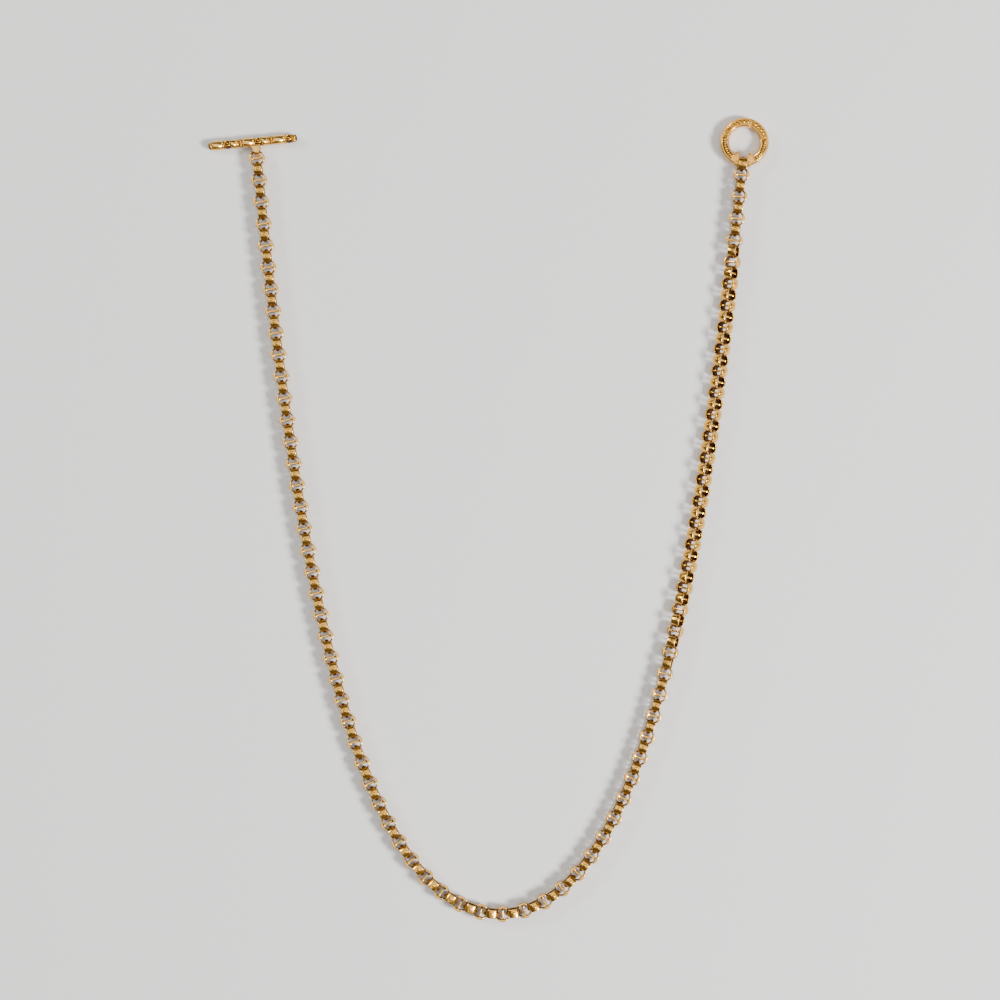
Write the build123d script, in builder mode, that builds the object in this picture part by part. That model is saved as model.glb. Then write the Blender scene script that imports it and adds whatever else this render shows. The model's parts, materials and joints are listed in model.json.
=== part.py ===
from build123d import *
from math import asin, asinh, cos, radians, sin, sqrt
import os

# Pocket watch chain, laid flat in a hanging curve: a T-bar at one end, 152 barred links and an end ring.
# Millimetres, +Z up, the table at Z = 0. The ends of the chain point along +Y and the bend is at -Y.

# chain curve: a catenary, y = a (cosh(x / a) - 1)
CURVE_A = 19.2
CHAIN_START = -199.7  # length along the curve from its lowest point to the first link
PITCH = 2.636
LINKS = 152
SINGLE_LINKS = 4  # links that are nodes of their own at each end
GROUP = 4  # links in each of the other nodes

# one link: a round band with flat sides inside, a bar across it, and ends narrower than its middle
LINK_R = 1.84
LINK_HOLE_R = 1.54  # along the chain
LINK_HOLE_WIDE = 1.40  # across it, before the flat sides cut it off
LINK_HOLE_HALF = 1.30
BAND = 2.0
BAND_LEVEL = 1.05  # half the length over which the band keeps its full width
BAND_NECK = 1.3  # where the narrower ends begin, from the link's middle
BAND_NECK_HALF = 0.5
BAND_END_HALF = 0.3
STUD = 0.50
STUD_DEPTH = 0.90

# on the right-hand side the links lie rolled about the chain, from one length along the curve to another
ROLL = 45.0
ROLL_RISE = (60.0, 108.0)
ROLL_FALL = (165.0, 189.0)

# T-bar: pieces in order along the rod
BAR_R = 1.14
BAR_ROD_R = 0.72
BAR_ROD_CHAMFER = 0.08
BAR_FIT = 0.01
BAR_BORE_R = BAR_ROD_R + BAR_FIT
BAR_CAP = 1.1
BAR_LENGTHS = {"long": 2.65, "stud": 1.75, "short": 1.55, "groove": 1.45}
BAR_ORDER = ["long", "stud", "short", "groove"] * 2 + ["long", "stud"]
BAR_EDGE = 0.16
BAR_ASIDE = 0.7  # the eye stands this far to the right of the bar's middle
BAR_FROM_LINK = 4.06  # from the middle of the first link to the rod
BAR_REST = 1.25  # the rod's height above the table, where its studs touch it

CAP_R = 0.96
CAP_ROUND = 0.6
CAP_BORE = 0.57
CAP_GROOVE_AT = 0.25  # from the cap's inner end
CAP_GROOVE_R = 0.15
GROOVE_COLLAR_R = 1.04
GROOVE_R = 0.20
STUD_COLLAR_R = 0.98
BAR_STUD_R = 0.80
BAR_STUD_REACH = 1.10
BAR_DISH_R = 0.55
BAR_DISH_DEPTH = 0.14

# eye under the T-bar: a closed loop that holds the first link
EYE_TOP = 0.86
EYE_HOLE_TOP = 1.35
EYE_HOLE_END = 3.02
EYE_END = 3.34
EYE_HALF = 1.25
EYE_HOLE_HALF = 0.95
EYE_ROOT_HALF = 1.1
EYE_END_HALF = 0.5
EYE_CORNER = 0.6
EYE_HOLE_CORNER = 0.3
EYE_PIVOT = 2.65

# end ring, split at the bottom by two ears with a pin that carries the last link
RING_R = 5.81
RING_HOLE_R = 3.78
RING_HALF = 0.95
RING_BEVEL = 0.22
EAR_IN = 1.10
EAR_OUT = 1.95
EAR_REACH = 5.95  # from the ring's middle to the ears' outer tips
EAR_INNER = 2.70
EAR_CORNER = 0.35
PIN_R = 0.36
PIN_IN_LINK = 1.11  # from the middle of the last link to the pin
PIN_IN_RING = 4.17  # from the middle of the ring to the pin
STATIONS = [(8.5, 0.85), (76.0, 0.40), (171.5, 0.85)]  # grooves across the ring: (angle, width)
STATION_DEPTH = 0.50
RING_STUDS = [8.5, 144.5, 171.5]
RING_STUD_R = 0.48
RING_STUD_SUNK = 0.12  # how far a stud's heads lie below the ring's faces
RING_DISH_R = 0.32
RING_DISH_DEPTH = 0.12

os.makedirs("parts", exist_ok=True)


# ---- the chain's curve ----

def ramp(s, start, end):
    """From 0 to 1 and smooth at both ends."""
    t = min(max((s - start) / (end - start), 0.0), 1.0)
    return t * t * (3 - 2 * t)


def roll_at(s):
    return ROLL * (ramp(s, *ROLL_RISE) - ramp(s, *ROLL_FALL))


def along(i):
    """Length along the curve, from its lowest point to link i."""
    return CHAIN_START + i * PITCH


def tangent(s):
    reach = sqrt(CURVE_A**2 + s**2)
    return Vector(CURVE_A / reach, s / reach, 0)


def lowest(roll):
    """How far a link's outline reaches below its middle when it is rolled from flat."""
    return LINK_R * abs(sin(radians(roll))) + BAND / 2 * abs(cos(radians(roll)))


def height(s):
    """The chain's middle line runs level with what its deepest link needs above the table."""
    roll = roll_at(s)
    return max(lowest(roll), lowest(roll + 90))


def middle(s):
    return Vector(CURVE_A * asinh(s / CURVE_A), sqrt(CURVE_A**2 + s**2) - CURVE_A, height(s))


def link_plane(i):
    """Link i's own plane: its X runs along the chain and its Z is the axis of its band."""
    s = along(i)
    ahead = tangent(s)
    across = Vector(0, 0, 1).cross(ahead)
    roll = radians(roll_at(s) + 90 * (i % 2))
    return Plane(middle(s), x_dir=ahead, z_dir=Vector(0, 0, cos(roll)) + across * sin(roll))


# ---- planes of the two ends ----

def tilted(outward, drop):
    """The outward direction, lowered by an angle in radians."""
    return outward * cos(drop) - Vector(0, 0, sin(drop))


first = middle(along(0))
bar_outward = tangent(along(0)) * -1
bar_along = bar_outward.cross(Vector(0, 0, 1))
bar_pivot = first + bar_outward * (BAR_FROM_LINK - EYE_PIVOT)
bar_drop = asin((first.Z - BAR_REST) / EYE_PIVOT)
bar_lean = tilted(bar_outward, bar_drop)
bar_plane = Plane(bar_pivot + bar_lean * EYE_PIVOT, x_dir=bar_along, z_dir=bar_along.cross(bar_lean))
bar_axis = Axis(bar_plane.origin, bar_plane.x_dir)

last = middle(along(LINKS - 1))
ring_outward = tangent(along(LINKS - 1))
ring_across = ring_outward.cross(Vector(0, 0, 1))
ring_pivot = last + ring_outward * PIN_IN_LINK
ring_drop = asin((last.Z - RING_HALF) / (PIN_IN_RING + RING_R))
ring_lean = tilted(ring_outward, ring_drop)
ring_middle = ring_pivot + ring_lean * PIN_IN_RING
ring_plane = Plane(ring_middle, x_dir=ring_across, z_dir=ring_across.cross(ring_lean))


# ---- chain links ----

def make_link():
    """A link at the origin, flat, with its length along X and its bar along Y."""
    with BuildPart() as link:
        with BuildSketch(mode=Mode.PRIVATE) as hole:
            Ellipse(LINK_HOLE_R, LINK_HOLE_WIDE)
            Rectangle(2 * LINK_HOLE_R, 2 * LINK_HOLE_HALF, mode=Mode.INTERSECT)
        with BuildSketch():
            Circle(LINK_R)
            add(hole.sketch, mode=Mode.SUBTRACT)
        extrude(amount=BAND / 2, both=True)
        with BuildSketch(Plane.XZ):
            with BuildLine():
                half = Polyline((-LINK_R, 0), (-LINK_R, BAND_END_HALF), (-BAND_NECK, BAND_NECK_HALF),
                                (-BAND_LEVEL, BAND / 2), (BAND_LEVEL, BAND / 2),
                                (BAND_NECK, BAND_NECK_HALF), (LINK_R, BAND_END_HALF), (LINK_R, 0))
                mirror(half, about=Plane.XZ)
            make_face()
        extrude(amount=LINK_R, both=True, mode=Mode.INTERSECT)
        with BuildSketch():
            Rectangle(STUD, 2 * LINK_HOLE_HALF + STUD / 5)
        extrude(amount=STUD_DEPTH / 2, both=True)
    return link.part


def make_links(numbers, link):
    with BuildPart() as links:
        with Locations(*[link_plane(i).location for i in numbers]):
            add(link)
    return links.part


def link_groups():
    """The link numbers in each chain node, from the T-bar to the ring."""
    ends = list(range(SINGLE_LINKS)), list(range(LINKS - SINGLE_LINKS, LINKS))
    starts = range(SINGLE_LINKS, LINKS - SINGLE_LINKS, GROUP)
    return [[i] for i in ends[0]] + [list(range(i, i + GROUP)) for i in starts] + [[i] for i in ends[1]]


def links_name(numbers):
    """Counted from 1, such as link_001 or links_005_008."""
    if len(numbers) == 1:
        return f"link_{numbers[0] + 1:03d}"
    return f"links_{numbers[0] + 1:03d}_{numbers[-1] + 1:03d}"


# ---- T-bar ----

BAR_LENGTH = 2 * BAR_CAP + sum(BAR_LENGTHS[kind] for kind in BAR_ORDER)
BAR_LEFT = -BAR_LENGTH / 2 - BAR_ASIDE


def bar_starts():
    """Where each piece of BAR_ORDER begins along the rod, as (kind, start)."""
    at = BAR_LEFT + BAR_CAP
    found = []
    for kind in BAR_ORDER:
        found.append((kind, at))
        at += BAR_LENGTHS[kind]
    return found


def make_rod():
    length = BAR_LENGTH - BAR_CAP
    with BuildPart() as rod:
        with BuildSketch(bar_plane):
            with Locations((BAR_LEFT + BAR_LENGTH / 2, BAR_ROD_R / 2)):
                Rectangle(length, BAR_ROD_R)
        revolve(axis=bar_axis)
        chamfer(rod.edges().filter_by(GeomType.CIRCLE), BAR_ROD_CHAMFER)
    return rod.part


def make_sleeve(start, length, radius=BAR_R):
    with BuildPart() as sleeve:
        with BuildSketch(bar_plane):
            with Locations((start + length / 2, (radius + BAR_BORE_R) / 2)):
                Rectangle(length, radius - BAR_BORE_R)
        revolve(axis=bar_axis)
        fillet(sleeve.edges().filter_by(GeomType.CIRCLE).group_by(SortBy.RADIUS)[-1], BAR_EDGE)
    return sleeve.part


def make_groove_collar(start):
    """A narrow collar with two round grooves turned in it."""
    length = BAR_LENGTHS["groove"]
    with BuildPart() as collar:
        with BuildSketch(bar_plane):
            with Locations((start + length / 2, (GROOVE_COLLAR_R + BAR_BORE_R) / 2)):
                Rectangle(length, GROOVE_COLLAR_R - BAR_BORE_R)
            with Locations((start + length / 4, GROOVE_COLLAR_R), (start + 3 * length / 4, GROOVE_COLLAR_R)):
                Circle(GROOVE_R, mode=Mode.SUBTRACT)
        revolve(axis=bar_axis)
    return collar.part


def make_stud_collar(start):
    """A collar with a round stud through it, dished at both ends."""
    length = BAR_LENGTHS["stud"]
    stud_at = (start + length / 2, 0)
    with BuildPart() as collar:
        add(make_sleeve(start, length, STUD_COLLAR_R))
        with BuildSketch(bar_plane):
            with Locations(stud_at):
                Circle(BAR_STUD_R)
        extrude(amount=BAR_STUD_REACH, both=True)
        for side in (-1, 1):
            with BuildSketch(bar_plane.offset(side * BAR_STUD_REACH)):
                with Locations(stud_at):
                    Circle(BAR_DISH_R)
            extrude(amount=-side * BAR_DISH_DEPTH, mode=Mode.SUBTRACT)
        with BuildSketch(bar_plane):
            with Locations((start + length / 2, BAR_BORE_R / 2)):
                Rectangle(2 * length, BAR_BORE_R)
        revolve(axis=bar_axis, mode=Mode.SUBTRACT)
    return collar.part


def make_cap(end, side):
    """A rounded end with a ring groove. end is its tip, and side is -1 on the left and 1 on the right."""
    inner = end - side * BAR_CAP
    with BuildPart() as cap:
        with BuildSketch(bar_plane) as profile:
            with Locations(((inner + end) / 2, CAP_R / 2)):
                Rectangle(BAR_CAP, CAP_R)
            fillet(profile.vertices().sort_by_distance((end, CAP_R))[0], CAP_ROUND)
            with Locations((inner + side * CAP_GROOVE_AT, CAP_R)):
                Circle(CAP_GROOVE_R, mode=Mode.SUBTRACT)
            with Locations((inner + side * CAP_BORE / 2, BAR_BORE_R / 2)):
                Rectangle(CAP_BORE, BAR_BORE_R, mode=Mode.SUBTRACT)
        revolve(axis=bar_axis)
    return cap.part


def make_eye():
    """A closed loop on the side of the bar, wide at its root and narrow where the first link hangs."""
    side_plane = Plane(bar_plane.origin, x_dir=bar_plane.y_dir, z_dir=bar_plane.x_dir)
    with BuildPart() as eye:
        with BuildSketch(side_plane):
            with Locations((-(EYE_TOP + EYE_END) / 2, 0)):
                RectangleRounded(EYE_END - EYE_TOP, 2 * EYE_HALF, EYE_CORNER)
            with Locations((-(EYE_HOLE_TOP + EYE_HOLE_END) / 2, 0)):
                RectangleRounded(EYE_HOLE_END - EYE_HOLE_TOP, 2 * EYE_HOLE_HALF, EYE_HOLE_CORNER,
                                 mode=Mode.SUBTRACT)
        extrude(amount=EYE_ROOT_HALF, both=True)
        with BuildSketch(bar_plane):
            with BuildLine():
                Polyline((-EYE_ROOT_HALF, 0), (-EYE_ROOT_HALF, -EYE_HOLE_TOP), (-EYE_END_HALF, -EYE_HOLE_END),
                         (-EYE_END_HALF, -EYE_END), (EYE_END_HALF, -EYE_END), (EYE_END_HALF, -EYE_HOLE_END),
                         (EYE_ROOT_HALF, -EYE_HOLE_TOP), (EYE_ROOT_HALF, 0), close=True)
            make_face()
        extrude(amount=EYE_HALF, both=True, mode=Mode.INTERSECT)
        with BuildSketch(bar_plane):
            with Locations((0, (BAR_R + BAR_FIT / 2) / 2)):
                Rectangle(4 * EYE_ROOT_HALF, BAR_R + BAR_FIT / 2)
        revolve(axis=bar_axis, mode=Mode.SUBTRACT)
    return eye.part


# ---- end ring ----

def ring_spot(angle, radius):
    return (radius * cos(radians(angle)), radius * sin(radians(angle)))


def make_ring():
    """A flat ring with bevelled rims, grooves across both faces, and a gap for the ears."""
    mid, band = (RING_R + RING_HOLE_R) / 2, RING_R - RING_HOLE_R
    with BuildPart() as ring:
        with BuildSketch(ring_plane):
            Circle(RING_R)
            Circle(RING_HOLE_R, mode=Mode.SUBTRACT)
        extrude(amount=RING_HALF, both=True)
        chamfer(ring.edges().filter_by(GeomType.CIRCLE), RING_BEVEL)
        with BuildSketch(ring_plane):
            with Locations((0, -RING_R)):
                Rectangle(2 * EAR_OUT, 2 * (RING_R - EAR_INNER))
        extrude(amount=RING_HALF, both=True, mode=Mode.SUBTRACT)
        for side in (-1, 1):
            with BuildSketch(ring_plane.offset(side * RING_HALF)):
                for angle, width in STATIONS:
                    with Locations(Location(ring_spot(angle, mid), angle)):
                        Rectangle(2 * band, width)
            extrude(amount=-side * STATION_DEPTH, mode=Mode.SUBTRACT)
        with BuildSketch(ring_plane):
            with Locations(*[ring_spot(angle, mid) for angle in RING_STUDS]):
                Circle(RING_STUD_R + BAR_FIT)
        extrude(amount=RING_HALF, both=True, mode=Mode.SUBTRACT)
    return ring.part


def make_ring_studs():
    """Round studs through the ring, each with a shallow dish in both heads."""
    mid = (RING_R + RING_HOLE_R) / 2
    spots = [ring_spot(angle, mid) for angle in RING_STUDS]
    with BuildPart() as studs:
        with BuildSketch(ring_plane):
            with Locations(*spots):
                Circle(RING_STUD_R)
        extrude(amount=RING_HALF - RING_STUD_SUNK, both=True)
        for side in (-1, 1):
            with BuildSketch(ring_plane.offset(side * (RING_HALF - RING_STUD_SUNK))):
                with Locations(*spots):
                    Circle(RING_DISH_R)
            extrude(amount=-side * RING_DISH_DEPTH, mode=Mode.SUBTRACT)
    return studs.part


def make_ear(side):
    """An ear beside the last link, with a hole for the pin. side is -1 on the left and 1 on the right."""
    with BuildPart() as ear:
        with BuildSketch(Plane(ring_plane.origin, x_dir=ring_plane.y_dir, z_dir=ring_plane.x_dir)
                         .offset(side * EAR_IN)):
            with Locations((-(EAR_REACH + EAR_INNER) / 2, 0)):
                RectangleRounded(EAR_REACH - EAR_INNER, 2 * RING_HALF, EAR_CORNER)
            with Locations((-PIN_IN_RING, 0)):
                Circle(PIN_R + BAR_FIT, mode=Mode.SUBTRACT)
        extrude(amount=side * (EAR_OUT - EAR_IN))
    return ear.part


def make_pin():
    with BuildPart() as pin:
        with BuildSketch(Plane(ring_plane.origin, x_dir=ring_plane.y_dir, z_dir=ring_plane.x_dir)):
            with Locations((-PIN_IN_RING, 0)):
                Circle(PIN_R)
        extrude(amount=EAR_OUT, both=True)
    return pin.part


# ---- the whole chain ----

def bar_pieces():
    found = {"t_bar_rod": make_rod(), "t_bar_eye": make_eye()}
    found["t_bar_cap_left"] = make_cap(BAR_LEFT, -1)
    found["t_bar_cap_right"] = make_cap(BAR_LEFT + BAR_LENGTH, 1)
    for kind in ("long", "short"):
        starts = [at for name, at in bar_starts() if name == kind]
        for number, at in enumerate(starts, 1):
            found[f"t_bar_{kind}_sleeve_{number}"] = make_sleeve(at, BAR_LENGTHS[kind])
    for kind, make in (("stud", make_stud_collar), ("groove", make_groove_collar)):
        with BuildPart() as collars:
            for name, at in bar_starts():
                if name == kind:
                    add(make(at))
        found[f"t_bar_{kind}_collars"] = collars.part
    return found


def ring_pieces():
    return {
        "ring_body": make_ring(),
        "ring_ear_left": make_ear(-1),
        "ring_ear_right": make_ear(1),
        "ring_pin": make_pin(),
        "ring_studs": make_ring_studs(),
    }


def chain_pieces():
    link = make_link()
    return {links_name(numbers): make_links(numbers, link) for numbers in link_groups()}


pieces = {**bar_pieces(), **chain_pieces(), **ring_pieces()}

# the origin is on the table, at the middle of the chain's footprint
box = Compound(children=[piece.moved(Location()) for piece in pieces.values()]).bounding_box()
shift = Vector(-box.center().X, -box.center().Y, -box.min.Z)

for name, piece in pieces.items():
    placed = piece.moved(Location(shift))
    placed.label = name
    export_step(placed, f"parts/{name}.step")
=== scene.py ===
import json
from math import atan2, cos, degrees, hypot, pi, radians, sin, sqrt

import bmesh
import bpy
import numpy as np
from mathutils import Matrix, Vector


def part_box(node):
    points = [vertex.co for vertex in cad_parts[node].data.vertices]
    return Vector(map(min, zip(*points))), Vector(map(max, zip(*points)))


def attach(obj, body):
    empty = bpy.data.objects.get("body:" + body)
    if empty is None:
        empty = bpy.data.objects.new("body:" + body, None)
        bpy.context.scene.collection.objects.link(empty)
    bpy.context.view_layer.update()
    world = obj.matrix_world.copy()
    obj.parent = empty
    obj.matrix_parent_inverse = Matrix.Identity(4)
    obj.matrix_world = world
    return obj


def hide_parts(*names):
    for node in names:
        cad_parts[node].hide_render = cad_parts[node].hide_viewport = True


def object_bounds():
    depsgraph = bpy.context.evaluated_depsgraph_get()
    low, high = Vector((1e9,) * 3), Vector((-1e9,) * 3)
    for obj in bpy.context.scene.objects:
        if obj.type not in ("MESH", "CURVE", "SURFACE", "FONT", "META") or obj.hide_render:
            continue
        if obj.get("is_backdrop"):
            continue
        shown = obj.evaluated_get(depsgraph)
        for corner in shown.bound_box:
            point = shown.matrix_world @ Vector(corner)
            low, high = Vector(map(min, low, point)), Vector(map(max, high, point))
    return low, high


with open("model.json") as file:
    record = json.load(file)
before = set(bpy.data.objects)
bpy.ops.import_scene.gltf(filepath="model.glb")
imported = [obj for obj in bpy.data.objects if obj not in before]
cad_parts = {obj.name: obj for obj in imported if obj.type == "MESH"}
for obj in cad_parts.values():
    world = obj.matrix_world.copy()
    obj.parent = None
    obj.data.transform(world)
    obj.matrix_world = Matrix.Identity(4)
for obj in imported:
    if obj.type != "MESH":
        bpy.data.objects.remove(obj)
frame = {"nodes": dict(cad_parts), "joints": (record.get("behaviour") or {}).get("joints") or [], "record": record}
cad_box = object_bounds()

# Pocket watch chain in polished yellow gold: barred links, a banded T-bar and a flat end ring.
# Sizes are in millimetres and MM turns them into the scene's metres, except where a comment says otherwise.
# Painted shade runs from 0, bright, to 1, dark: holes, grooves, recesses, undersides and sides are darkened in the
# colour as if shaded. Every shape made here carries it, and the gold's looks follow it.
MM = 0.001
SAME_PLACE = 1e-7  # points closer than this, in metres, are one point

# one link, as in the CAD solid that it replaces: X along the chain, Y along its bar, Z the axis of its band
LINK_R = 1.84
LINK_HOLE_R = 1.54  # half the hole along the chain
LINK_HOLE_WIDE = 1.40  # half the oval that the hole is cut from, along the bar
LINK_HOLE_HALF = 1.30  # half the hole along the bar, where the oval is cut flat
BAND_OUTLINE = ((1.05, 1.00), (1.30, 0.50), (1.84, 0.30))  # (from the link's middle, half the band's height)
BAND_OUTER_ROUND = 0.13
BAND_INNER_ROUND = 0.07
BAND_END = (1.0, 1.4)  # from where to where, along the chain, painted shade makes the band darker towards the ends where the next links nest
# painted shade on the band's outer side, in its hole and at its ends
BAND_EDGE_PAINTED_SHADE = 0.12
BAND_HOLE_PAINTED_SHADE = 0.95
BAND_END_PAINTED_SHADE = 0.6
CORNER_STEPS = 12  # steps round the band up to the hole's corner
FLAT_STEPS = 5  # and from there to the middle of its flat side
STUD_HALF = 0.25
STUD_DEPTH_HALF = 0.45
STUD_ROUND = 0.13
STUD_SUNK = 0.06  # how far the bar's ends reach into the band
STUD_FLARE = 0.40  # how much wider the bar is where it meets the band
STUD_STATIONS = (-1.0, -0.9, -0.8, -0.68, -0.45, 0.0, 0.45, 0.68, 0.8, 0.9, 1.0)
# (radius, rise above the band, painted shade), so the ring round the rivet is painted dark as shade
RIVET = ((0.42, -0.06, 0.9), (0.40, 0.00, 0.8), (0.33, 0.02, 0.75), (0.27, 0.045, 0.2), (0.14, 0.07, 0.0))
RIVET_AROUND = 14

# T-bar: outlines are (along, under the full radius), with the depth of the milling last where there is any
BAR_R = 1.14
BAR_BORE_R = 0.73
SLEEVE_EDGE = ((0, 0.16), (0.03, 0.08), (0.09, 0.02), (0.18, 0))
SLEEVE_LINE = 0.42  # from the band's right-hand end to the line cut in it
SLEEVE_CUT = ((-0.07, 0), (-0.04, 0.05), (0.04, 0.05), (0.07, 0))
GROOVE_COLLAR_R = 1.04
GROOVE_HALF = (
    (0.00, 0, 0.10), (0.12, 0, 0.10), (0.17, 0.05, 0.06), (0.22, 0.14, 0), (0.34, 0.20, 0), (0.46, 0.14, 0),
    (0.52, 0.04, 0), (0.58, 0, 0), (0.66, 0.01, 0),
)
GROOVE_COLLAR_CHAMFER = 0.06
STUD_COLLAR_R = 0.98
STUD_COLLAR_EDGE = ((0, 0.08, 0.06), (0.06, 0.01, 0.10), (0.20, 0, 0.10), (0.27, 0.05, 0.04), (0.36, 0.12, 0))
CAP_OUTLINE = (  # (along, radius, depth of milling)
    (0.00, BAR_BORE_R, 0), (0.00, 0.90, 0.05), (0.05, 0.97, 0.08), (0.13, 0.98, 0.08), (0.17, 0.92, 0.02),
    (0.20, 0.85, 0), (0.30, 0.85, 0), (0.34, 0.92, 0), (0.39, 0.97, 0), (0.50, 0.97, 0.02), (0.62, 0.94, 0.08),
    (0.74, 0.88, 0.11), (0.85, 0.79, 0.12), (0.94, 0.67, 0.10), (1.01, 0.52, 0.06), (1.06, 0.35, 0.02),
    (1.09, 0.18, 0), (1.10, 0.0, 0),
)
CAP_BORE = 0.57  # how deep the rod goes into a cap
BOSS_R = 0.80
BOSS_REACH = 1.10
BOSS_OUTLINE = (  # (under the top of the stud's rim, share of its radius)
    (0.05, 0.0), (0.06, 0.16), (0.10, 0.28), (0.17, 0.37), (0.20, 0.42), (0.20, 0.55), (0.15, 0.64),
    (0.04, 0.71), (0, 0.80), (0.03, 0.89), (0.11, 0.96), (0.22, 1.0),
)
MILLING = 22  # teeth round a milled edge
AROUND = 132  # steps round a turned piece, six for each tooth
HOLLOW = (0.03, 0.30)  # how far under a turned piece's full radius the painted shade starts and is complete
DISH = (0.02, 0.20)  # the same, under a stud's rim

# end ring: turns are in degrees from the pin's direction
RING_HALF = 0.95
RING_MID_R = 4.80
RING_STUD_R = 0.48
RING_STUD_REACH = 0.95
RING_STUDS = (8.5, 144.5, 171.5)
RAIL_ARCS = ((-58.0, 2.0), (15.0, 73.5), (79.0, 165.0), (178.0, 238.0))
RAIL_OFFSETS = (-0.55, 0.55)
RAIL_R = 0.09
RAIL_RISE = 0.35  # how far a rail's middle stands above the face, as a share of its radius
RAIL_STEP = 2.0
ENGRAVED_ARCS = ((16.0, 73.0), (79.5, 137.0), (152.0, 164.0))
ENGRAVING_STEP = 0.5
ENGRAVING_ACROSS = 13
ENGRAVING_FOOT = 0.2  # how far the engraving's foot is sunk in the face
ENGRAVING_LEAST = 0.02
ENGRAVING_DEPTH = 0.15
ENGRAVING_BRIGHT = 0.12  # the height from which the relief is fully bright, with painted shade in the lower relief under it
LOZENGE_PITCH = 0.95
LOZENGE_SLANT = 2.9
BEAD_ARCS = ((-54.0, 1.0), (179.0, 234.0))
BEADS_IN_ARC = 9
BEAD_MARGIN = 3.0  # how far a strip runs on past its last beads
BEAD_R = 0.26
BEAD_STRETCH = 0.55  # how much longer a bead is across the ring than round it
BEAD_SUNK = 0.10
BEAD_OUTLINE = (  # (above the face, share of its radius)
    (0.20, 0.0), (0.19, 0.35), (0.15, 0.66), (0.08, 0.88), (0.02, 0.98), (-BEAD_SUNK, 1.0), (-BEAD_SUNK, 0.0),
)
BEAD_FOOT = (-0.02, 0.14)  # painted shade at a bead's foot: below the first it is dark, above the second bright
STRIP_OUTLINE = ((-1, 0.03), (-0.85, 0.012), (0.85, 0.012), (1, 0.03), (1, -0.1), (-1, -0.1))
EAR_IN = 1.10
EAR_OUT = 1.95
EAR_RIBS = (3.05, 3.45, 4.95, 5.55)  # from the ring's middle
EAR_RIB_R = 0.13
EAR_RIB_RISE = 0.2  # as RAIL_RISE
EAR_RIB_STEPS = 9
ROUND_STEPS = 8  # steps round a rail or a rib

# looks: (bright colour, dark colour of the painted shade, roughness) of each slot
GOLDS = {
    "link_gold": ((1.0, 0.54, 0.10), (0.055, 0.016, 0.003), 0.12),
    "bar_gold": ((1.0, 0.60, 0.15), (0.12, 0.036, 0.006), 0.17),
    "worked_gold": ((0.98, 0.47, 0.07), (0.030, 0.008, 0.002), 0.18),
    "ring_gold": ((1.0, 0.54, 0.11), (0.08, 0.024, 0.004), 0.13),
}
BRIGHT_UP_TO = 0.08  # the shade at which the bright colour starts to darken
DARK_FROM = 0.95  # and where it is fully dark
PAINTED_SHADE_SHARE = 0.85  # of the shade, the painted shade's part of it
CLOUD_SHARE = 0.25  # of the shade
SPOT_ROUGHNESS = 0.08
SHADE_ROUGHNESS = 0.25
SCRATCH_RELIEF = 0.35
CLOUD_RELIEF = 0.65
CLOUDS = (260.0, 4.0)  # scale and detail of the noise
SPOTS = (1500.0, 3.0)
SCRATCHES = (900.0, 2.0)
SCRATCH_STRETCH = (1.0, 9.0, 9.0)
SCRATCH_TURN = (0.3, 0.5, 0.7)  # radians
BUMP_STRENGTH = 0.12
BUMP_METRES = 0.00005
SOFT_NODES = ("ring_body", "ring_ear_left", "ring_ear_right", "ring_pin", "t_bar_eye", "t_bar_rod")
SOFT_EDGE = 0.07
SOFT_EDGE_ANGLE = 35  # degrees, and edges flatter than that stay as they are

# stage, in metres and watts: lights are (name, place from the chain's middle, side, power)
FLOOR_HALF = 1.6
FLOOR_COLOUR = (0.80, 0.79, 0.77)
FLOOR_ROUGHNESS = 0.6
WORLD_COLOUR = (0.9, 0.93, 1.0)
WORLD_STRENGTH = 0.12
LIGHTS = (
    ("right_light", (0.96, -0.36, 0.90), 0.36, 34.0),
    ("left_light", (-1.04, 0.60, 0.80), 0.40, 10.0),
    ("top_light", (0.06, 0.20, 1.90), 2.10, 21.0),
)

CAMERA_VIEW = 240.0  # width of the picture at the chain
CAMERA_ASIDE = Vector((2.8, 4.7, 0.0))
CAMERA_LENS = 100.0
CAMERA_SENSOR = 36.0
CAMERA_CLIP = (0.01, 10)  # metres


# ---- meshes ----

def make_piece(name, parts, body, slot, replaced=()):
    """A shown piece from parts, each (points in metres, faces, painted shade of each point)."""
    points, faces, painted_shade = [], [], []
    for part_points, part_faces, part_painted_shade in parts:
        first = len(points)
        points.extend(map(tuple, part_points))
        faces.extend(tuple(first + k for k in face) for face in part_faces)
        painted_shade.extend(part_painted_shade)
    mesh = bpy.data.meshes.new(name)
    mesh.from_pydata(points, [], faces)
    mesh.attributes.new("painted_shade", "FLOAT", "POINT").data.foreach_set("value", np.array(painted_shade, np.float32))
    work = bmesh.new()
    work.from_mesh(mesh)
    bmesh.ops.remove_doubles(work, verts=work.verts, dist=SAME_PLACE)
    bmesh.ops.recalc_face_normals(work, faces=work.faces)
    work.to_mesh(mesh)
    work.free()
    mesh.shade_smooth()
    obj = bpy.data.objects.new(name, mesh)
    bpy.context.scene.collection.objects.link(obj)
    obj.data.materials.append(MATERIALS[slot])
    obj.modifiers.new("even_light", "WEIGHTED_NORMAL").keep_sharp = True
    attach(obj, body)
    if replaced:
        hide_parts(*replaced)
    return obj


def loft_faces(rings, around, closed):
    """Quads between rings of points. Where closed, the last ring joins the first, and else both are capped."""
    faces = []
    for i in range(rings if closed else rings - 1):
        here, there = i * around, (i + 1) % rings * around
        for j in range(around):
            k = (j + 1) % around
            faces.append((here + j, here + k, there + k, there + j))
    if not closed:
        faces.append(tuple(range(around)))
        faces.append(tuple(range((rings - 1) * around, rings * around)))
    return faces


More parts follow.
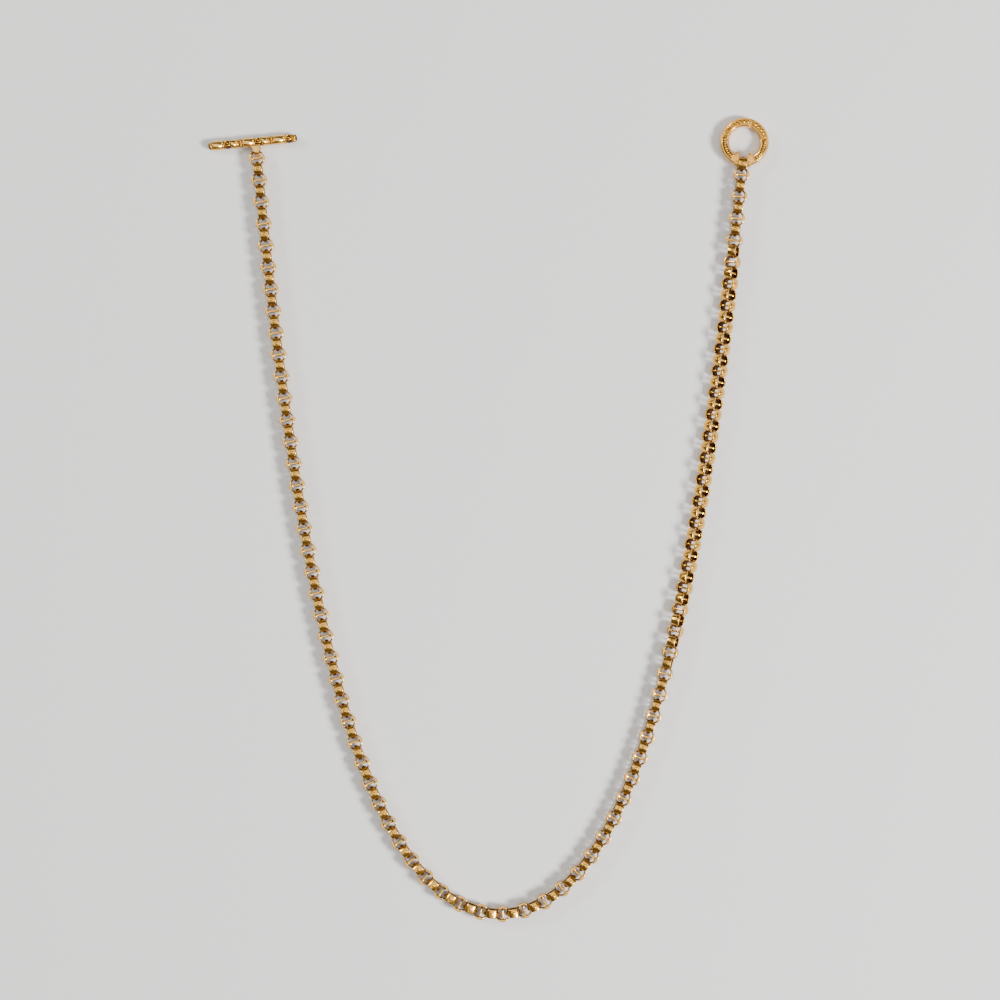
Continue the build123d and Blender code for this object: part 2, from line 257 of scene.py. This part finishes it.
def smooth_step(value, low, high):
    """From 0 at low to 1 at high, level at both."""
    t = np.clip((value - low) / (high - low), 0.0, 1.0)
    return t * t * (3 - 2 * t)


# ---- chain links ----

def band_half(x):
    """Half the band's height, which falls from its middle to its ends."""
    return float(np.interp(abs(x), *zip(*BAND_OUTLINE)))


def band_section(angle):
    """(radius, height, painted shade) round the band's section at that angle."""
    oval = 1 / hypot(cos(angle) / LINK_HOLE_R, sin(angle) / LINK_HOLE_WIDE)
    inner = min(oval, LINK_HOLE_HALF / max(abs(sin(angle)), 1e-6))
    upper = []
    for turn in (0, 30, 60, 90):
        a = radians(turn)
        r, under = LINK_R - BAND_OUTER_ROUND * (1 - cos(a)), BAND_OUTER_ROUND * (1 - sin(a))
        upper.append((r, under, BAND_EDGE_PAINTED_SHADE * cos(a)))
    for turn in (0, 45, 90):
        a = radians(turn)
        r, under = inner + BAND_INNER_ROUND * (1 - sin(a)), BAND_INNER_ROUND * (1 - cos(a))
        upper.append((r, under, BAND_HOLE_PAINTED_SHADE * sin(a)))
    found = [(r, band_half(r * cos(angle)) - under, painted_shade) for r, under, painted_shade in upper]
    return found + [(r, -z, painted_shade) for r, z, painted_shade in reversed(found)]


def band_part():
    """The round band of a link, with more steps at the hole's four corners."""
    side = LINK_HOLE_HALF / LINK_HOLE_WIDE
    corner = degrees(atan2(LINK_HOLE_HALF, LINK_HOLE_R * sqrt(1 - side**2)))
    quarter = list(np.linspace(0, corner, CORNER_STEPS)) + list(np.linspace(corner, 90, FLAT_STEPS))[1:]
    half = quarter + [180 - a for a in reversed(quarter[:-1])]
    turns = half[:-1] + [180 + a for a in half[:-1]]
    points, painted_shade = [], []
    for turn in turns:
        angle = radians(turn)
        for r, z, dark in band_section(angle):
            end = smooth_step(abs(r * cos(angle)), *BAND_END)
            points.append((r * cos(angle), r * sin(angle), z))
            painted_shade.append(min(dark + BAND_END_PAINTED_SHADE * float(end), 1.0))
    return np.array(points), loft_faces(len(turns), len(points) // len(turns), True), painted_shade


def rounded_rectangle(half_x, half_z, round_by):
    """The outline of a rectangle with rounded corners, as (x, z) points."""
    found = []
    for cx, cz, start in ((1, 1, 0), (-1, 1, 90), (-1, -1, 180), (1, -1, 270)):
        for turn in (0, 30, 60, 90):
            a = radians(start + turn)
            x, z = cx * (half_x - round_by), cz * (half_z - round_by)
            found.append((x + round_by * cos(a), z + round_by * sin(a)))
    return found


def bar_part():
    """The bar across a link, flared where it meets the band."""
    reach = LINK_HOLE_HALF + STUD_SUNK
    points, painted_shade = [], []
    for station in STUD_STATIONS:
        flare = 1 + STUD_FLARE * float(smooth_step(abs(station), 0.62, 1.0))
        for x, z in rounded_rectangle(STUD_HALF * flare, STUD_DEPTH_HALF * flare, STUD_ROUND):
            points.append((x, station * reach, z))
            # painted shade: the bar's narrow sides and its ends at the band are darker
            side = float(smooth_step(STUD_DEPTH_HALF - abs(z), 0.02, 0.25))
            end = float(smooth_step(abs(station), 0.7, 1.0))
            painted_shade.append(min(0.05 + 0.6 * side + 0.3 * end, 1.0))
    around = len(points) // len(STUD_STATIONS)
    return np.array(points), loft_faces(len(STUD_STATIONS), around, False), painted_shade


def rivet_part(side):
    """The end of the bar, riveted over in a shallow ring on the outside of the band."""
    points, painted_shade = [], []
    for r, rise, dark in RIVET:
        for k in range(RIVET_AROUND):
            a = 2 * pi * k / RIVET_AROUND
            x = r * cos(a)
            points.append((x, side * (sqrt(LINK_R**2 - x**2) + rise), r * sin(a)))
            painted_shade.append(dark)
    return np.array(points), loft_faces(len(RIVET), RIVET_AROUND, False), painted_shade


def link_template():
    """One link about its own middle: (points in metres, faces, painted shade)."""
    points, faces, painted_shade = [], [], []
    for part in (band_part(), bar_part(), rivet_part(-1), rivet_part(1)):
        first = sum(len(p) for p in points)
        faces += [tuple(first + k for k in face) for face in part[1]]
        points.append(part[0])
        painted_shade += part[2]
    return np.vstack(points) * MM, faces, painted_shade


def solids(node):
    """Each closed solid of a CAD node, as an array of its triangles' corners."""
    work = bmesh.new()
    work.from_mesh(frame["nodes"][node].data)
    bmesh.ops.remove_doubles(work, verts=work.verts, dist=SAME_PLACE)
    bmesh.ops.triangulate(work, faces=work.faces)
    seen, found = set(), []
    for start in work.faces:
        if start in seen:
            continue
        seen.add(start)
        island = [start]
        for face in island:  # the list grows while it is read, until the whole solid is in it
            for near in [f for e in face.edges for f in e.link_faces]:
                if near not in seen:
                    seen.add(near)
                    island.append(near)
        found.append(np.array([[v.co for v in f.verts] for f in island]))
    work.free()
    return found


def own_axes(triangles):
    """A solid's middle and its axes, from the one that it is thinnest along to the one it is widest along."""
    about = triangles.mean((0, 1))
    a, b, c = (triangles[:, k] - about for k in range(3))
    volume = np.einsum("ij,ij->i", a, np.cross(b, c)) / 6
    middle = ((a + b + c) / 4 * volume[:, None]).sum(0) / volume.sum()
    spread = np.zeros((3, 3))
    for p in (a, b, c, a + b + c):
        spread += np.einsum("i,ij,ik->jk", volume / 20, p, p)
    spread -= np.outer(middle, middle) * volume.sum()
    axes = np.linalg.eigh(spread * np.sign(volume.sum()))[1]
    return about + middle, axes.T


def place_links():
    """The rounded link in the place of every CAD link: thinnest along its band's axis, widest along its bar."""
    points, faces, painted_shade = link_template()
    for node in sorted(n for n in frame["nodes"] if n.startswith("link")):
        parts = []
        for triangles in solids(node):
            middle, (band_axis, _, bar_axis) = own_axes(triangles)
            basis = np.array([np.cross(bar_axis, band_axis), bar_axis, band_axis])
            parts.append((points @ basis + middle, faces, painted_shade))
        make_piece(node + "_gold", parts, node, "link_gold", [node])


# ---- turned pieces ----

def turned(profile, origin, axis, side, milled=0, dark=0.0):
    """A piece turned about axis. profile is its closed outline: (along, radius, depth of milling) points."""
    other = axis.cross(side)
    points, painted_shade = [], []
    most = max(r for _, r, _ in profile)
    for i in range(AROUND):
        a = 2 * pi * i / AROUND
        outward = side * cos(a) + other * sin(a)
        for along, r, depth in profile:
            cut = depth * (0.5 - 0.5 * cos(a * milled))
            points.append(origin + (axis * along + outward * (r - cut)) * MM)
            # painted shade in grooves and hollows, growing as the outline dips under the piece's full radius
            painted_shade.append(min(dark + float(smooth_step(most - (r - cut), *HOLLOW)), 1.0))
    return points, loft_faces(AROUND, len(profile), True), painted_shade


def along_bar(triangles, origin, axis):
    """From where to where a solid lies along the bar, in millimetres."""
    reach = (triangles.reshape(-1, 3) - np.array(origin)) @ np.array(axis) / MM
    return reach.min(), reach.max()


def sleeve_profile(start, end):
    """A plain band with soft edges and a fine line cut near its right-hand end."""
    line = end - SLEEVE_LINE
    left = [(start + along, BAR_R - under, 0) for along, under in SLEEVE_EDGE]
    cut = [(line + along, BAR_R - under, 0) for along, under in SLEEVE_CUT]
    right = [(end - along, BAR_R - under, 0) for along, under in reversed(SLEEVE_EDGE)]
    return [(start, BAR_BORE_R, 0)] + left + cut + right + [(end, BAR_BORE_R, 0)]


def groove_profile(start, end):
    """A collar with a milled rib between two round grooves."""
    mid, r = (start + end) / 2, GROOVE_COLLAR_R
    left = [(mid - along, r - under, depth) for along, under, depth in reversed(GROOVE_HALF)]
    right = [(mid + along, r - under, depth) for along, under, depth in GROOVE_HALF[1:]]
    edge = r - GROOVE_COLLAR_CHAMFER
    return [(start, BAR_BORE_R, 0), (start, edge, 0)] + left + right + [(end, edge, 0), (end, BAR_BORE_R, 0)]


def stud_collar_profile(start, end):
    """A hollowed collar with a milled edge on each side."""
    left = [(start + along, STUD_COLLAR_R - under, depth) for along, under, depth in STUD_COLLAR_EDGE]
    right = [(end - along, STUD_COLLAR_R - under, depth) for along, under, depth in reversed(STUD_COLLAR_EDGE)]
    return [(start, BAR_BORE_R, 0)] + left + right + [(end, BAR_BORE_R, 0)]


def cap_profile(inner, way):
    """A rounded end from its inner edge outwards: a milled edge, a ring groove, a dome, and the bore last."""
    outline = [(inner + way * along, r, depth) for along, r, depth in CAP_OUTLINE]
    bottom = inner + way * CAP_BORE
    return outline + [(bottom, 0.0, 0), (bottom, BAR_BORE_R, 0)]


def left_cap_profile(start, end):
    return cap_profile(end, -1)


def right_cap_profile(start, end):
    return cap_profile(start, 1)


def boss_profile(radius, reach):
    """A round stud with a domed middle in a dish and a raised rim, the same at both ends."""
    upper = [(reach - under, share * radius, 0) for under, share in BOSS_OUTLINE]
    return upper + [(-along, r, 0) for along, r, _ in reversed(upper)]


def dished(part, centre, axis, reach):
    """The same part, with painted shade by how far each point lies under the stud's rim."""
    points, faces, _ = part
    deep = [reach - abs((p - centre).dot(axis)) / MM for p in points]
    return points, faces, [float(smooth_step(d, *DISH)) for d in deep]


def place_bar():
    """The T-bar's bands, collars, studs and caps, each where its CAD solid lies along the bar."""
    mount = next(m for m in frame["record"]["mounts"] if m["name"] == "t_bar_end")
    origin, axis = Vector(mount["pos_m"]), -Vector(mount["axis"]).normalized()
    low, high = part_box("t_bar_eye")
    lean = (low + high) / 2 - origin
    lean = (lean - axis * lean.dot(axis)).normalized()
    stud_axis = axis.cross(lean)

    def build(node, name, profile, slot, milled=0, dark=0.0, extra=None):
        parts = []
        for triangles in solids(node):
            start, end = along_bar(triangles, origin, axis)
            parts.append(turned(profile(start, end), origin, axis, lean, milled, dark))
            if extra:
                parts.append(extra((start + end) / 2))
        make_piece(name, parts, "t_bar", slot, [node])

    def boss(middle):
        centre = origin + axis * middle * MM
        part = turned(boss_profile(BOSS_R, BOSS_REACH), centre, stud_axis, axis)
        return dished(part, centre, stud_axis, BOSS_REACH)

    for node in sorted(n for n in frame["nodes"] if "sleeve" in n):
        build(node, node + "_gold", sleeve_profile, "bar_gold")
    # dark: painted shade over the whole piece, deepest on the stud collars in the gaps between the bands
    for node, profile, dark, extra in (
        ("t_bar_groove_collars", groove_profile, 0.15, None),
        ("t_bar_stud_collars", stud_collar_profile, 0.6, boss),
        ("t_bar_cap_left", left_cap_profile, 0.2, None),
        ("t_bar_cap_right", right_cap_profile, 0.2, None),
    ):
        build(node, node + "_gold", profile, "worked_gold", MILLING, dark, extra)


# ---- end ring ----

def place_ring():
    """The end ring's rails, engraving, strips, beads, ribs and studs, on both of its faces."""
    mount = next(m for m in frame["record"]["mounts"] if m["name"] == "end_ring_eye")
    pin = next(j for j in frame["joints"] if j["child"] == "end_ring")
    middle, up = Vector(mount["pos_m"]), Vector(mount["axis"]).normalized()
    across = Vector(pin["axis"]).normalized()
    ahead = up.cross(across)

    def spot(turn, radius, height):
        """A point of the ring: radius and height in millimetres, turn in degrees from the pin's direction."""
        a = radians(turn)
        return middle + ((across * cos(a) + ahead * sin(a)) * radius + up * height) * MM

    def arc_part(start, end, section, step, round_ends=False):
        """A section of (radius, height, wear) swept from one turn to another. section takes the turn."""
        count = max(int((end - start) / step), 2) + 1
        turns = np.linspace(start, end, count)
        points, painted_shade = [], []
        for turn in turns:
            scale = 1.0
            if round_ends:
                scale = float(smooth_step(min(turn - start, end - turn), -1.5, 2.5))
            outline = section(turn, scale)
            points.extend(spot(turn, r, z) for r, z, _ in outline)
            painted_shade.extend(dark for _, _, dark in outline)
        return points, loft_faces(count, len(outline), False), painted_shade

    def rail(offset, face):
        """A round rail along one edge of the ring's face."""
        def section(turn, scale):
            found = []
            for k in range(ROUND_STEPS):
                a = 2 * pi * k / ROUND_STEPS
                radius = RING_MID_R + offset + RAIL_R * cos(a) * scale
                height = RING_HALF + RAIL_R * (RAIL_RISE + scale * sin(a))
                # painted shade on the rail's underside
                found.append((radius, face * height, 0.25 * (1 - sin(a))))
            return found
        return section

    def engraving(face):
        """Raised lozenges, crossed by finer lines."""
        half = RAIL_OFFSETS[1] - RAIL_R

        def section(turn, scale):
            found = []
            for k in range(ENGRAVING_ACROSS):
                v = -half + 2 * half * k / (ENGRAVING_ACROSS - 1)
                wave = radians(turn) * RING_MID_R / LOZENGE_PITCH * pi
                lozenge = abs(sin(wave + v * LOZENGE_SLANT)) * abs(sin(wave - v * LOZENGE_SLANT))
                fine = 0.25 * abs(sin(3 * wave)) * (1 - abs(v) / half)
                rise = (ENGRAVING_LEAST + ENGRAVING_DEPTH * (0.75 * lozenge + fine)) * scale
                # painted shade in the low parts of the relief
                painted_shade = 1.0 - min(rise / ENGRAVING_BRIGHT, 1.0)
                found.append((RING_MID_R + v, face * (RING_HALF + rise), painted_shade))
            # the sunk foot is painted fully dark as shade
            foot = face * (RING_HALF - ENGRAVING_FOOT)
            return found + [(RING_MID_R + half, foot, 1.0), (RING_MID_R - half, foot, 1.0)]
        return section

    def strip(face):
        """A dull recessed strip between the rails, under the beads, painted fully dark as shade."""
        half = RAIL_OFFSETS[1] - 0.5 * RAIL_R

        def section(turn, scale):
            found = []
            for v, rise in STRIP_OUTLINE:
                found.append((RING_MID_R + half * v, face * (RING_HALF + rise * scale), 1.0))
            return found
        return section

    def rib(place, side, face):
        """A half-round rib across an ear, from its inner to its outer side."""
        points, painted_shade = [], []
        for i in range(EAR_RIB_STEPS):
            t = -1 + 2 * i / (EAR_RIB_STEPS - 1)
            scale = sqrt(max(1 - t**4, 0.02))
            x = side * ((EAR_IN + EAR_OUT) / 2 + t * (EAR_OUT - EAR_IN) / 2)
            for k in range(ROUND_STEPS):
                a = 2 * pi * k / ROUND_STEPS
                back = place + EAR_RIB_R * scale * cos(a)
                height = face * (RING_HALF + EAR_RIB_R * (EAR_RIB_RISE + scale * sin(a)))
                points.append(middle + (across * x - ahead * back + up * height) * MM)
                # painted shade on the rib's underside
                painted_shade.append(0.3 * (1 - sin(a)))
        return points, loft_faces(EAR_RIB_STEPS, ROUND_STEPS, False), painted_shade

    def bead(turn, face):
        """A low dome, longer across the ring, with its foot sunk in the ring's face."""
        centre = spot(turn, RING_MID_R, 0)
        profile = [(face * (RING_HALF + z), share * BEAD_R, 0) for z, share in BEAD_OUTLINE]
        points, faces, _ = turned(profile, centre, up, across)
        radial = (centre - middle).normalized()
        points = [p + radial * (p - centre).dot(radial) * BEAD_STRETCH for p in points]
        height = [abs((p - centre).dot(up)) / MM - RING_HALF for p in points]
        # painted shade round the bead's foot
        return points, faces, [1.0 - float(smooth_step(h, *BEAD_FOOT)) for h in height]

    rails, engraved, strips, beads, ribs, studs = [], [], [], [], [], []
    for face in (-1, 1):
        for start, end in RAIL_ARCS:
            for offset in RAIL_OFFSETS:
                rails.append(arc_part(start, end, rail(offset, face), RAIL_STEP, True))
        for start, end in ENGRAVED_ARCS:
            engraved.append(arc_part(start, end, engraving(face), ENGRAVING_STEP, True))
        for start, end in BEAD_ARCS:
            strips.append(arc_part(start - BEAD_MARGIN, end + BEAD_MARGIN, strip(face), RAIL_STEP))
            for turn in np.linspace(start, end, BEADS_IN_ARC):
                beads.append(bead(turn, face))
        for side in (-1, 1):
            for place in EAR_RIBS:
                ribs.append(rib(place, side, face))
    for turn in RING_STUDS:
        centre = spot(turn, RING_MID_R, 0)
        part = turned(boss_profile(RING_STUD_R, RING_STUD_REACH), centre, up, across)
        studs.append(dished(part, centre, up, RING_STUD_REACH))
    make_piece("ring_rails", rails, "end_ring", "ring_gold")
    make_piece("ring_engraving", engraved, "end_ring", "worked_gold")
    make_piece("ring_strips", strips, "end_ring", "worked_gold")
    make_piece("ring_beads", beads, "end_ring", "ring_gold")
    make_piece("ring_ear_ribs", ribs, "end_ring", "ring_gold")
    make_piece("ring_studs_gold", studs, "end_ring", "worked_gold", ["ring_studs"])


# ---- materials ----

def gold(name, bright, dark, roughness):
    """Polished gold: darker and rougher where shade is painted on it, in hollows and recesses, with fine scratches
    and small dents.
    """
    material = bpy.data.materials.new(name)
    material.use_nodes = True
    nodes, links = material.node_tree.nodes, material.node_tree.links
    shader = nodes["Principled BSDF"]
    shader.inputs["Metallic"].default_value = 1.0
    place = nodes.new("ShaderNodeTexCoord")

    def noise(scale, detail, stretch=None):
        """Noise fixed to the piece, drawn out along one slanting direction where stretch is given."""
        found = nodes.new("ShaderNodeTexNoise")
        found.inputs["Scale"].default_value = scale
        found.inputs["Detail"].default_value = detail
        source = place.outputs["Object"]
        if stretch:
            mapping = nodes.new("ShaderNodeMapping")
            mapping.inputs["Scale"].default_value = stretch
            mapping.inputs["Rotation"].default_value = SCRATCH_TURN
            links.new(source, mapping.inputs["Vector"])
            source = mapping.outputs["Vector"]
        links.new(source, found.inputs["Vector"])
        return found.outputs["Fac"]

    def math(operation, a, b):
        found = nodes.new("ShaderNodeMath")
        found.operation = operation
        for socket, value in zip(found.inputs, (a, b)):
            if isinstance(value, (int, float)):
                socket.default_value = value
            else:
                links.new(value, socket)
        return found.outputs[0]

    cloudy, spots = noise(*CLOUDS), noise(*SPOTS)
    scratches = noise(*SCRATCHES, SCRATCH_STRETCH)
    # painted shade of each point, from its place in the shape: it darkens the colour where shade would fall
    painted_shade = nodes.new("ShaderNodeAttribute")
    painted_shade.attribute_name = "painted_shade"
    weighted_painted_shade = math("MULTIPLY", painted_shade.outputs["Fac"], PAINTED_SHADE_SHARE)
    shade = math("ADD", weighted_painted_shade, math("MULTIPLY", cloudy, CLOUD_SHARE))
    ramp = nodes.new("ShaderNodeValToRGB")
    ramp.color_ramp.elements[0].position = BRIGHT_UP_TO
    ramp.color_ramp.elements[0].color = (*bright, 1)
    ramp.color_ramp.elements[1].position = DARK_FROM
    ramp.color_ramp.elements[1].color = (*dark, 1)
    links.new(shade, ramp.inputs["Fac"])
    links.new(ramp.outputs["Color"], shader.inputs["Base Color"])
    spotted = math("MULTIPLY", spots, SPOT_ROUGHNESS)
    uneven = math("ADD", spotted, math("MULTIPLY", shade, SHADE_ROUGHNESS))
    links.new(math("ADD", uneven, roughness), shader.inputs["Roughness"])
    scratched = math("MULTIPLY", scratches, SCRATCH_RELIEF)
    relief = math("ADD", scratched, math("MULTIPLY", cloudy, CLOUD_RELIEF))
    bump = nodes.new("ShaderNodeBump")
    bump.inputs["Strength"].default_value = BUMP_STRENGTH
    bump.inputs["Distance"].default_value = BUMP_METRES
    links.new(relief, bump.inputs["Height"])
    links.new(bump.outputs["Normal"], shader.inputs["Normal"])
    return material


MATERIALS = {name: gold(name, *look) for name, look in GOLDS.items()}
SLOTS = {s["node"]: s["material_slot"] for s in frame["record"]["subparts"]}


def finish_cad():
    """Every CAD piece gets its gold, and those that nothing replaces get soft edges."""
    for node, obj in frame["nodes"].items():
        obj.data.materials.clear()
        obj.data.materials.append(MATERIALS[SLOTS[node]])
        if node in SOFT_NODES:
            obj.modifiers.new("join", "WELD").merge_threshold = 1e-6
            bevel = obj.modifiers.new("soft_edges", "BEVEL")
            bevel.width = SOFT_EDGE * MM
            bevel.segments = 3
            bevel.angle_limit = radians(SOFT_EDGE_ANGLE)
            bevel.harden_normals = True
            obj.data.shade_smooth()


# ---- floor, light and camera ----

def plain(name, colour, roughness):
    """A material of one colour."""
    material = bpy.data.materials.new(name)
    material.use_nodes = True
    shader = material.node_tree.nodes["Principled BSDF"]
    shader.inputs["Base Color"].default_value = (*colour, 1)
    shader.inputs["Roughness"].default_value = roughness
    return material


def make_stage(low, middle):
    """A pale floor at the height of low, a dim world, and soft lights that all face the middle."""
    mesh = bpy.data.meshes.new("floor")
    corners = []
    for x, y in ((-1, -1), (1, -1), (1, 1), (-1, 1)):
        corners.append((middle.x + x * FLOOR_HALF, middle.y + y * FLOOR_HALF, low.z))
    mesh.from_pydata(corners, [], [(0, 1, 2, 3)])
    floor = bpy.data.objects.new("floor", mesh)
    bpy.context.scene.collection.objects.link(floor)
    floor.data.materials.append(plain("pale_floor", FLOOR_COLOUR, FLOOR_ROUGHNESS))
    floor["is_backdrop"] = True

    world = bpy.data.worlds.new("studio")
    world.use_nodes = True
    background = world.node_tree.nodes["Background"]
    background.inputs["Color"].default_value = (*WORLD_COLOUR, 1)
    background.inputs["Strength"].default_value = WORLD_STRENGTH
    bpy.context.scene.world = world

    for name, place, size, power in LIGHTS:
        data = bpy.data.lights.new(name, "AREA")
        data.size = size
        data.energy = power
        light = bpy.data.objects.new(name, data)
        light.location = middle + Vector(place)
        light.rotation_mode = "QUATERNION"
        light.rotation_quaternion = (middle - light.location).to_track_quat("-Z", "Y")
        bpy.context.scene.collection.objects.link(light)


def make_camera(low, high):
    """The camera looks straight down at the chain, as the photograph looks straight at it."""
    data = bpy.data.cameras.new("camera")
    data.lens, data.sensor_width = CAMERA_LENS, CAMERA_SENSOR
    camera = bpy.data.objects.new("camera", data)
    away = CAMERA_VIEW * CAMERA_LENS / CAMERA_SENSOR * MM
    camera.location = (low + high) / 2 + CAMERA_ASIDE * MM + Vector((0, 0, away))
    data.clip_start, data.clip_end = CAMERA_CLIP
    bpy.context.scene.collection.objects.link(camera)
    bpy.context.scene.camera = camera


low, high = cad_box
make_camera(low, high)
finish_cad()
place_links()
place_bar()
place_ring()
make_stage(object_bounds()[0], (low + high) / 2)
